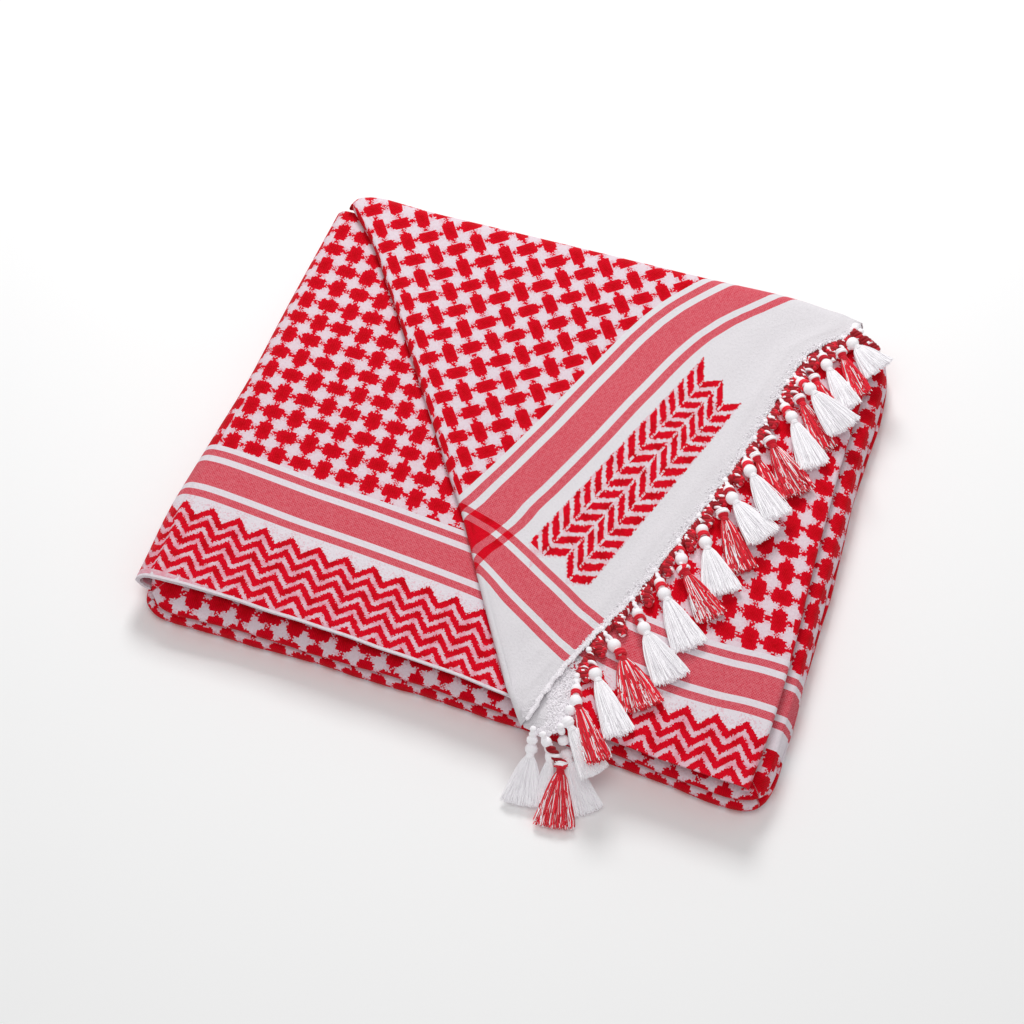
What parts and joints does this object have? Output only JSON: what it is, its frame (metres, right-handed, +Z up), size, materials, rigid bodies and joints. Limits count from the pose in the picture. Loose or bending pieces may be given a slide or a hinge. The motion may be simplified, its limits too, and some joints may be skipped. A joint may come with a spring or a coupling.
{
  "type": "keffiyeh headscarf, folded",
  "caption": "Square cotton headscarf in red and white checks, folded into a flat stack with one tasselled corner turned over its top.",
  "frame": {"origin": "on the surface that the stack lies on, under the middle of its flat underside", "axes": "+Z up, +X to the right along the front fold, +Y from the front fold to the back of the stack"},
  "size_m": [0.3746, 0.3739, 0.0431],
  "materials": {
    "checked_cotton": "soft matt cotton, raised red checks on a pinkish white ground",
    "bordered_cotton": "soft matt cotton, checks with a border of stripes and zigzags",
    "corner_cotton": "soft matt cotton, checks, stripes and a plain white margin",
    "white_yarn": "soft white cotton yarn with a slight sheen",
    "red_yarn": "red cotton yarn mixed with white, with a slight sheen"
  },
  "bodies": {
    "root": {"folded_core": "checked_cotton", "upper_panel": "bordered_cotton", "turned_corner": "corner_cotton", "tassel_01_white": "white_yarn", "tassel_02_red": "red_yarn", "tassel_03_white": "white_yarn", "tassel_04_red": "red_yarn", "tassel_05_white": "white_yarn", "tassel_06_red": "red_yarn", "tassel_07_white": "white_yarn", "tassel_08_red": "red_yarn", "tassel_09_red": "red_yarn", "tassel_10_white": "white_yarn", "tassel_11_white": "white_yarn", "tassel_12_red": "red_yarn", "tassel_13_white": "white_yarn", "tassel_14_red": "red_yarn", "tassel_15_white": "white_yarn", "tassel_16_white": "white_yarn", "tassel_17_red": "red_yarn", "tassel_18_white": "white_yarn", "tassel_19_red": "red_yarn", "tassel_20_white": "white_yarn", "tassel_21_red": "red_yarn", "tassel_22_white": "white_yarn", "tassel_23_white": "white_yarn", "tassel_24_white": "white_yarn"}
  },
  "joints": []
}
